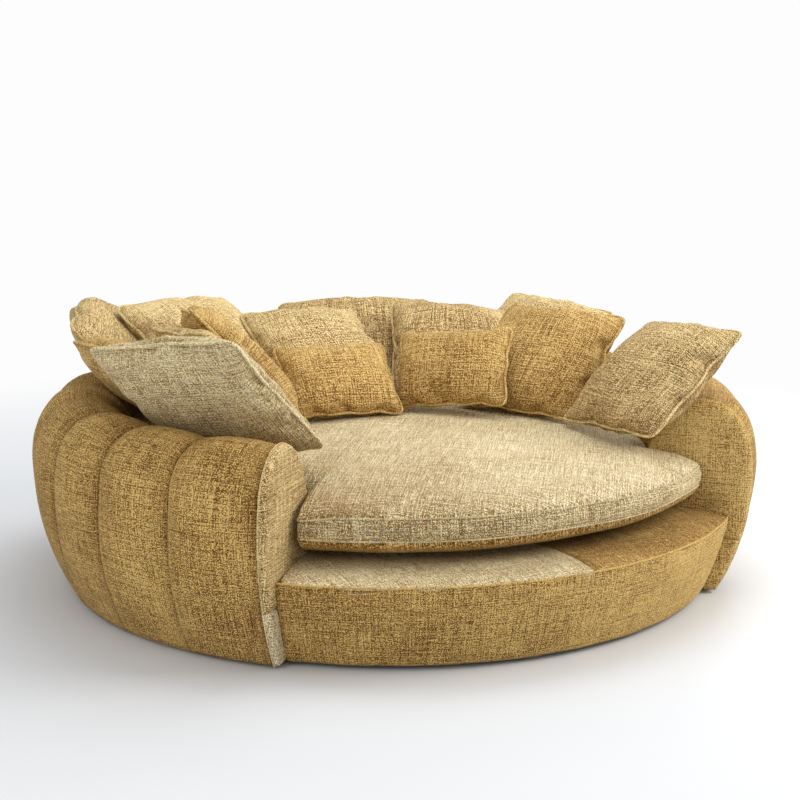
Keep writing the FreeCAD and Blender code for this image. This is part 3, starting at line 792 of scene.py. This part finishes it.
def cushion_reach(angle):
    """Radius of the seams: the round back, and the front that swells out to two rounded ears."""
    a = abs((angle + 180) % 360 - 180)
    front = FRONT_R + SLUMP * (0.5 + 0.5 * math.tanh((angle - 14) / 12))
    corner = LEFT_ROUND if angle < 0 else RIGHT_ROUND
    start, end = EAR - 0.1 - corner, EAR - 0.1
    if a <= start:
        return front
    if a >= end:
        return WALL_R
    t = (a - start) / (end - start)
    return WALL_R + (front - WALL_R) * (1 - t ** 2.4) ** 0.55


# shares of the reach at which the rows of the underside and the top lie, and of the band's height
ROWS_UNDER = (0.1, 0.3, 0.5, 0.65, 0.75, 0.82, 0.88, 0.92, 0.955, 0.98, 0.993)
ROWS_BAND = (0.0, 0.05, 0.12, 0.22, 0.35, 0.5, 0.65, 0.78, 0.88, 0.95, 1.0)
ROWS_TOP = (0.992, 0.978, 0.955, 0.925, 0.88, 0.83, 0.77, 0.7, 0.62, 0.53, 0.43, 0.32, 0.2, 0.08)
REST_Z = 250.3 * MM
CROWN_Z, SHOULDER_Z = 468 * MM, 437 * MM
# heights in mm of the band's two seams behind the opening, and how much higher they lie at the front
BAND_LOW, LOW_RISE = 318, 15
BAND_HIGH, HIGH_RISE = 383, 9
# the underside lifts off the deck from this radius, in metres
LIFTS_R = 0.62


def cushion_angles():
    """Angles round the cushion, close together at the ears and along the front."""
    angles, a = [], -180.0
    while a < 180:
        angles.append(a)
        near_ear = 39.5 < abs(a) < 44
        a += 0.14 if near_ear else (0.5 if abs(a) < 46 else 2.2)
    return angles


def cushion_column(angle, add):
    """Points of one upright slice of the cushion, from the middle of the underside to the top."""
    reach = cushion_reach(angle)
    bulk = (reach - WALL_R) / (FRONT_R - WALL_R)
    arc = math.radians(angle) * 0.9
    low = (BAND_LOW + LOW_RISE * bulk + 4 * ripple(arc, 0, 0.3, 21) * bulk) * MM
    high = (BAND_HIGH + HIGH_RISE * bulk + 3 * ripple(arc, 0, 0.3, 22) * bulk) * MM
    low += 7 * MM * bulk * math.exp(-((angle - 33) / 9) ** 2)
    high -= 13 * MM * bulk * math.exp(-((angle + 42) / 4.0) ** 2)
    for s in ROWS_UNDER:
        slope = max(0.0, (reach * s - LIFTS_R) / (reach - LIFTS_R))
        z = REST_Z + (low - REST_Z) * (0.55 * slope ** 1.6 + 0.45 * slope ** 9)
        z += 4 * MM * ripple(arc, reach * s, 0.14, 31) * slope * (1 - slope) * 4 * bulk
        bulge = 9 * MM * bulk * math.exp(-((s - 0.975) / 0.02) ** 2)
        add(angle, reach * s + bulge, z, 0.42 + 0.08 * ripple(arc, reach * s, 0.2, 7))
    for s in ROWS_BAND:
        folds = ripple(arc, s * 0.02, 0.02, 41) + 0.6 * ripple(arc, s * 0.03, 0.011, 42)
        where = 0.3 + 0.9 * math.exp(-((angle + 25) / 9) ** 2) + 0.35 * math.exp(-((angle - 8) / 7) ** 2)
        round_out = math.sin(math.pi * s)
        stands = 9 * round_out ** 0.6 - 1.5 + 4.6 * folds * where * round_out ** 0.8
        r = reach + stands * MM * (0.2 + 0.8 * bulk)
        tone = 0.46 + 0.1 * ripple(arc, s * 0.05, 0.12, 9)
        # painted light: fold crests are painted paler, and the band paler towards the right
        tone += 0.08 * folds * where + 0.16 * math.tanh(angle / 25)
        add(angle, r, low + (high - low) * s, tone)
    for s in ROWS_TOP:
        r, fall = reach * s, reach * (1 - s)
        crown = CROWN_Z - (CROWN_Z - SHOULDER_Z) * min(r / WALL_R, 1.0) ** 2
        z = high + (crown - high) * (1 - math.exp(-fall / 0.062)) ** 0.9
        z += 5 * MM * ripple(arc * s, r, 0.22, 51) * min(1, fall / 0.1) * min(1, s * 3)
        r += 5 * MM * bulk * math.exp(-((fall - 0.014) / 0.012) ** 2)
        # painted shade over the left front of the top
        shade = 0.52 * math.exp(-((angle + 34) / 24) ** 2 - (fall / 0.34) ** 2)
        add(angle, r, min(z, CROWN_Z), 0.66 - shade + 0.07 * ripple(arc * s, r, 0.18, 11))
    return reach, low, high


def cushion():
    """Closed cushion with a cord along both seams of its band."""
    angles = cushion_angles()
    points, nap_and_painted_light, seams = [], [], ([], [])

    def add(angle, r, z, tone):
        points.append(at(angle, r, z))
        nap_and_painted_light.append(tone)

    for angle in angles:
        reach, low, high = cushion_column(angle, add)
        seams[0].append(at(angle, reach + 1 * MM, low))
        seams[1].append(at(angle, reach + 1 * MM, high))
    columns, rows = len(angles), len(ROWS_UNDER) + len(ROWS_BAND) + len(ROWS_TOP)
    band = range(len(ROWS_UNDER), len(ROWS_UNDER) + len(ROWS_BAND) - 1)

    def uv_of(i, j, along_band):
        p = points[(i % columns) * rows + j]
        if along_band:
            return (math.radians(angles[i] if i < columns else 180.0) * 0.93 + 5, p[2])
        return uv_flat(p)

    faces, uv, cloths = [], [], []
    for i in range(columns):
        k = (i + 1) % columns
        for j in range(rows - 1):
            faces.append((i * rows + j, k * rows + j, k * rows + j + 1, i * rows + j + 1))
            corners = ((i, j), (i + 1, j), (i + 1, j + 1), (i, j + 1))
            uv.append([uv_of(a, b, j in band) for a, b in corners])
            cloths.append(2 if j in band else (1 if j < band[0] else 0))
    for z, j, turn, cloth in ((REST_Z, 0, 1, 1), (CROWN_Z, rows - 1, -1, 0)):
        middle = len(points)
        add(0, 0, z, 0.5)
        for i in range(columns):
            face = (middle, (i + 1) % columns * rows + j, i * rows + j)[::turn]
            faces.append(face)
            uv.append([uv_flat(points[v]) for v in face])
            cloths.append(cloth)
    for seam in seams:
        out = [(p[0], p[1] - SHELL_Y, 0) for p in seam]
        cord = cord_along(seam, out, CUSHION_CORD)
        sew_cord(points, faces, uv, nap_and_painted_light, cord, 0.72)
        cloths += [2] * len(cord[1])
    obj = build_mesh("cover_seat_cushion", points, faces, uv, nap_and_painted_light)
    finish_piece(obj, "seat_cushion", ["seat_cushion"], CLOTH_PALE)
    obj.data.materials.append(CLOTH_WARM)
    obj.data.materials.append(CLOTH_MIXED)
    obj.data.polygons.foreach_set("material_index", cloths)
    return obj


TOP_TURN = 0.62


def uv_flat(p):
    """UV of the flat middle of the top and underside, turned as the panels are cut."""
    c, s = math.cos(TOP_TURN), math.sin(TOP_TURN)
    return (p[0] * c - p[1] * s + 9, p[0] * s + p[1] * c)


cushion()

# %% [markdown]
# ## Scatter pillows
# A scatter pillow is two flat squares sewn together inside out, turned and overfilled. That is also
# the way to make one here: two flat grids joined at their rim, then a cloth simulation with pressure
# blows them up, and the cloth finds its own puckers along the seam. One pillow is blown up for each
# size, and each copy is fitted to its own place. A piped edge is sewn into the seam of each.

# %% Blow up one pillow per size
SIZES = {
    "square": (450, 450, 72), "large": (500, 500, 75), "wide": (550, 500, 78),
    "lumbar": (380, 280, 58), "small": (400, 300, 60),
}
CELLS = 34
# the flat cloth is cut this much larger than the filled pillow, whose sides are drawn in this far
PULL = 1.11
DRAW_IN = 17 * MM
BLOW_FRAMES = 34


def flat_pillow(width, height):
    """Two grids that share their rim: points, faces, the grid place of each point and the rim."""
    n = CELLS
    index, points, place = {}, [], []
    for layer in (1, -1):
        for i in range(n + 1):
            for j in range(n + 1):
                edge = i in (0, n) or j in (0, n)
                if layer < 0 and edge:
                    index[layer, i, j] = index[1, i, j]
                    continue
                index[layer, i, j] = len(points)
                s, t = 2 * i / n - 1, 2 * j / n - 1
                lift = 0.004 + 0.02 * (1 - s * s) * (1 - t * t)
                round_off = 1 - 0.055 * abs(s * t) ** 5
                z = 0.0 if edge else layer * lift
                points.append((s * width / 2 * round_off, t * height / 2 * round_off, z))
                place.append((s, t, layer))
    faces = []
    for layer in (1, -1):
        for i in range(n):
            for j in range(n):
                corners = ((i, j), (i + 1, j), (i + 1, j + 1), (i, j + 1))
                quad = [index[layer, a, b] for a, b in corners]
                faces.append(quad if layer > 0 else quad[::-1])
    rim = [index[1, i, 0] for i in range(n)] + [index[1, n, j] for j in range(n)]
    rim += [index[1, i, n] for i in range(n, 0, -1)] + [index[1, 0, j] for j in range(n, 0, -1)]
    return points, faces, place, rim


def inflate(name, width, height, crown):
    """Shape of a filled pillow: points with its crown scaled to the real thickness."""
    points, faces, place, rim = flat_pillow(width * PULL, height * PULL)
    mesh = bpy.data.meshes.new(name)
    mesh.from_pydata(points, [], faces)
    obj = bpy.data.objects.new(name, mesh)
    bpy.context.collection.objects.link(obj)
    cloth = obj.modifiers.new("filling", "CLOTH")
    settings = cloth.settings
    settings.quality = 6
    settings.mass = 0.25
    settings.tension_stiffness = 18
    settings.compression_stiffness = 14
    settings.shear_stiffness = 9
    settings.bending_stiffness = 0.35
    settings.air_damping = 4
    settings.use_pressure = True
    settings.uniform_pressure_force = 5.5
    settings.effector_weights.gravity = 0
    scene = bpy.context.scene
    cloth.point_cache.frame_start = 1
    cloth.point_cache.frame_end = BLOW_FRAMES
    for step in range(1, BLOW_FRAMES + 1):
        scene.frame_set(step)
    evaluated = obj.evaluated_get(bpy.context.evaluated_depsgraph_get())
    p = np.array([tuple(v.co) for v in evaluated.data.vertices])
    bpy.data.objects.remove(obj)
    scene.frame_set(1)
    p -= p.mean(axis=0)
    span = np.abs(p).max(axis=0)
    print(name, "blown up to", np.round(span * 2, 3))
    p *= (width / 2 / span[0], height / 2 / span[1], crown / span[2])
    return ease_sides(p, place, width / 2, height / 2), faces, place, rim


def ease_sides(p, place, half_width, half_height):
    """Lets the sides out again, because the simulation draws them in farther than a stuffed pillow's."""
    spot = np.array([(s, t) for s, t, _ in place])
    q = p.copy()
    for along, across, half in ((1, 0, half_width), (0, 1, half_height)):
        on_side = np.abs(spot[:, across]) > 0.999
        fit = np.polyfit(spot[on_side, along] ** 2, np.abs(p[on_side, across]), 2)
        reach = np.polyval(fit, spot[:, along] ** 2)
        want = half - DRAW_IN * (1 - spot[:, along] ** 2)
        q[:, across] = p[:, across] * want / reach
    return q


BLANKS = {}
for size, (w, h, c) in SIZES.items():
    BLANKS[size] = inflate("blank_" + size, w * MM, h * MM, c * MM)

# %% Pillow places
# letter and place, size, middle in mm about the shell's middle, then turn, lean back and roll
PILLOWS = (
    ("a_front_left", "large", -735.3, -350.5, 648.0, 128.4, 45.9, -9.9),
    ("b_left", "square", -761.2, 49.1, 618.0, 95.2, 52.4, -8.1),
    ("c_left_rear", "square", -712.6, 475.9, 653.0, 62.3, 42.0, 15.0),
    ("d_rear_left", "wide", -420.0, 446.6, 634.6, 34.5, 50.1, -4.0),
    ("e_small_left", "small", -650.0, -150.0, 694.5, 97.8, 40.6, -6.2),
    ("f_inner_left", "square", -468.6, 110.8, 661.9, 81.9, 43.8, -9.2),
    ("g_rear_middle", "square", -69.4, 385.7, 609.1, 9.6, 54.8, -3.4),
    ("h_lumbar_left", "lumbar", -138.1, 115.2, 575.3, -2.7, 45.6, -2.0),
    ("i_rear_wide", "wide", 149.4, 584.1, 599.4, -25.4, 57.3, 2.4),
    ("j_rear_right", "square", 378.0, 295.2, 608.5, -15.5, 54.2, -8.4),
    ("k_lumbar_right", "lumbar", 214.2, 14.7, 602.0, -48.6, 35.6, 6.4),
    ("l_right", "square", 504.6, -50.1, 614.3, -59.0, 48.7, -1.5),
    ("m_right_rear", "square", 697.2, 321.5, 604.2, -59.8, 53.5, -8.1),
    ("n_front_right", "square", 605.3, -495.8, 622.4, -91.0, 50.6, 4.8),
)
# cloth of each pillow and how pale its pile lies
PILLOW_TONE = {
    "a": (CLOTH_MIXED, 0.12), "b": (CLOTH_WARM, 0.05), "c": (CLOTH_GOLD, 0.05),
    "d": (CLOTH_GOLD, 0.24), "e": (CLOTH_GOLD, 0.08), "f": (CLOTH_WARM, 0.05),
    "g": (CLOTH_GOLD, 0.08), "h": (CLOTH_WARM, 0.1), "i": (CLOTH_GOLD, -0.08),
    "j": (CLOTH_GOLD, -0.07), "k": (CLOTH_WARM, 0.08), "l": (CLOTH_WARM, 0.0),
    "m": (CLOTH_GOLD, 0.2), "n": (CLOTH_GOLD, 0.01),
}
PIPE_R = 5.4 * MM
CORNER_IN = 0.02
# two neighbours are cut a little smaller, so that they stay clear of each other when they are lifted
TRIM = {"j": 0.985, "l": 0.985}
# the crown is kept a little under the solid's, and this many smoothing passes hold the seam straight
CROWN_TRIM, SEAM_PASSES = 0.985, 9
# pillows with a corner that has slumped: which corner, and by how much it has sunk each way
SLOUCH = {"c": ((1, 1), 100 * MM)}


def pillow(label, size, x, y, z, turn, lean, roll):
    """One placed pillow with its piping."""
    width, height = (v * MM for v in SIZES[size][:2])
    shape, faces, place, rim = BLANKS[size]
    seed = ord(label[0]) - 96
    cloth, pale = PILLOW_TONE[label[0]]
    local = shape.copy()
    nap_and_painted_light = []
    for k, (s, t, layer) in enumerate(place):
        inside = (1 - s * s) * (1 - t * t)
        local[k, 2] += 0.004 * ripple(s * width, t * height, 0.13, seed) * min(1, inside * 3)
        local[k, 2] *= CROWN_TRIM
        local[k, :2] *= (1 - CORNER_IN * abs(s * t) ** 4) * TRIM.get(label[0], 1)
        tone = 0.5 + pale + 0.1 * ripple(s * width, t * height, 0.12, seed + 5)
        # painted light: the front is painted paler towards the top
        tone += 0.12 * t - (0.06 if layer < 0 else 0)
        # painted shade: a dark line just inside the piping
        edge = max(abs(s), abs(t))
        tone -= 0.45 if edge > 0.99 else (0.2 if edge > 0.93 else 0)
        nap_and_painted_light.append(tone)
    if label[0] in SLOUCH:
        corner, drop = SLOUCH[label[0]]
        for k, (s, t, layer) in enumerate(place):
            near = max(0.0, (s * corner[0] + t * corner[1]) - 0.9) / 1.1
            local[k, 0] -= corner[0] * drop * near ** 1.4
            local[k, 1] -= corner[1] * drop * near ** 1.4
    # the piping holds the seam straight, so its small waves are ironed out
    for _ in range(SEAM_PASSES):
        seam = local[rim]
        local[rim] = (np.roll(seam, 1, 0) + 2 * seam + np.roll(seam, -1, 0)) / 4
    uv = []
    for face in faces:
        # the back is cut from another place in the cloth
        cut = 0 if face_layer(face, place) > 0 else 2.3
        uv.append([(place[v][0] * width / 2 + seed * 0.77, place[v][1] * height / 2 + cut) for v in face])
    points, all_faces = list(local), list(faces)
    loop = local[rim]
    cord = cord_along(loop, loop * (1, 1, 0), PIPE_R)
    # painted highlight: the piping is painted paler than the cloth
    sew_cord(points, all_faces, uv, nap_and_painted_light, cord, 0.8 + pale)
    obj = build_mesh("cover_pillow_" + label, points, all_faces, uv, nap_and_painted_light)
    turned = (
        Matrix.Translation((x * MM, y * MM + SHELL_Y, z * MM))
        @ Matrix.Rotation(math.radians(turn), 4, "Z")
        @ Matrix.Rotation(math.radians(90 - lean), 4, "X")
        @ Matrix.Rotation(math.radians(roll), 4, "Z")
    )
    obj.data.transform(turned)
    smooth = obj.modifiers.new("smooth", "SUBSURF")
    smooth.levels = smooth.render_levels = 1
    return finish_piece(obj, "pillow_" + label, ["pillow_" + label], cloth)


def face_layer(face, place):
    """More than nought for a face of the front cloth, less for one of the back."""
    return sum(place[v][2] if abs(place[v][0]) < 1 and abs(place[v][1]) < 1 else 0 for v in face)


for row in PILLOWS:
    pillow(*row)
print("pillows", len(PILLOWS))

# %% [markdown]
# ## What is under the cover
# The frame, webbing and glides keep their own solids and only get a finish. Little of them shows,
# but a glide peeps out under the border, and the dark lining is what is seen from below.

# %% Plywood, board, webbing, lining and glides


def plain_material(name, low, high, scale, roughness, stretch=(1, 1, 1)):
    """Finish from two near colours mixed by a noise of a real size in metres."""
    material, tree, output = new_material(name)
    place = add_node(tree, "ShaderNodeTexCoord").outputs["Object"]
    mapped = add_node(tree, "ShaderNodeMapping", {"Vector": place, "Scale": stretch}).outputs[0]
    grain = add_node(
        tree, "ShaderNodeTexNoise", {"Vector": mapped, "Scale": 1 / scale, "Detail": 4.0}
    ).outputs["Fac"]
    ramp = add_node(tree, "ShaderNodeValToRGB", {"Fac": grain})
    ramp.color_ramp.elements[0].position, ramp.color_ramp.elements[0].color = 0.3, linear(low)
    ramp.color_ramp.elements[1].position, ramp.color_ramp.elements[1].color = 0.7, linear(high)
    bump = add_node(tree, "ShaderNodeBump", {"Height": grain, "Strength": 0.3, "Distance": 0.0006})
    shader = add_node(
        tree, "ShaderNodeBsdfPrincipled",
        {"Base Color": ramp.outputs["Color"], "Roughness": roughness, "Normal": bump.outputs[0]},
    )
    tree.links.new(shader.outputs[0], output.inputs["Surface"])
    return material


FINISHES = {
    "plywood": plain_material("birch_plywood_sanded", "b08b5c", "d1b384", 0.02, 0.6, (1, 1, 9)),
    "facing_board": plain_material("hardboard_pressed", "6d4c30", "7f5c3c", 0.004, 0.55),
    "webbing": plain_material("elastic_webbing_woven", "2c2a28", "4a4642", 0.003, 0.8),
    "lining": plain_material("non_woven_lining", "17181a", "26272a", 0.0015, 0.95),
    "glide": plain_material("polypropylene_moulded", "111214", "1d1e20", 0.001, 0.45),
}
SLOT_OF = {
    "base_ring": "plywood", "frame_ribs": "plywood", "top_rail": "plywood", "seat_ring": "plywood",
    "arm_board_left": "plywood", "arm_board_right": "plywood", "inner_facing": "facing_board",
    "outer_facing": "facing_board", "front_board": "facing_board", "webbing_long": "webbing",
    "webbing_cross": "webbing", "dust_cover": "lining",
}
for node_name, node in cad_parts.items():
    kind = SLOT_OF.get(node_name, "glide" if node_name.startswith("glide") else None)
    if kind:
        node.data.materials.clear()
        node.data.materials.append(FINISHES[kind])
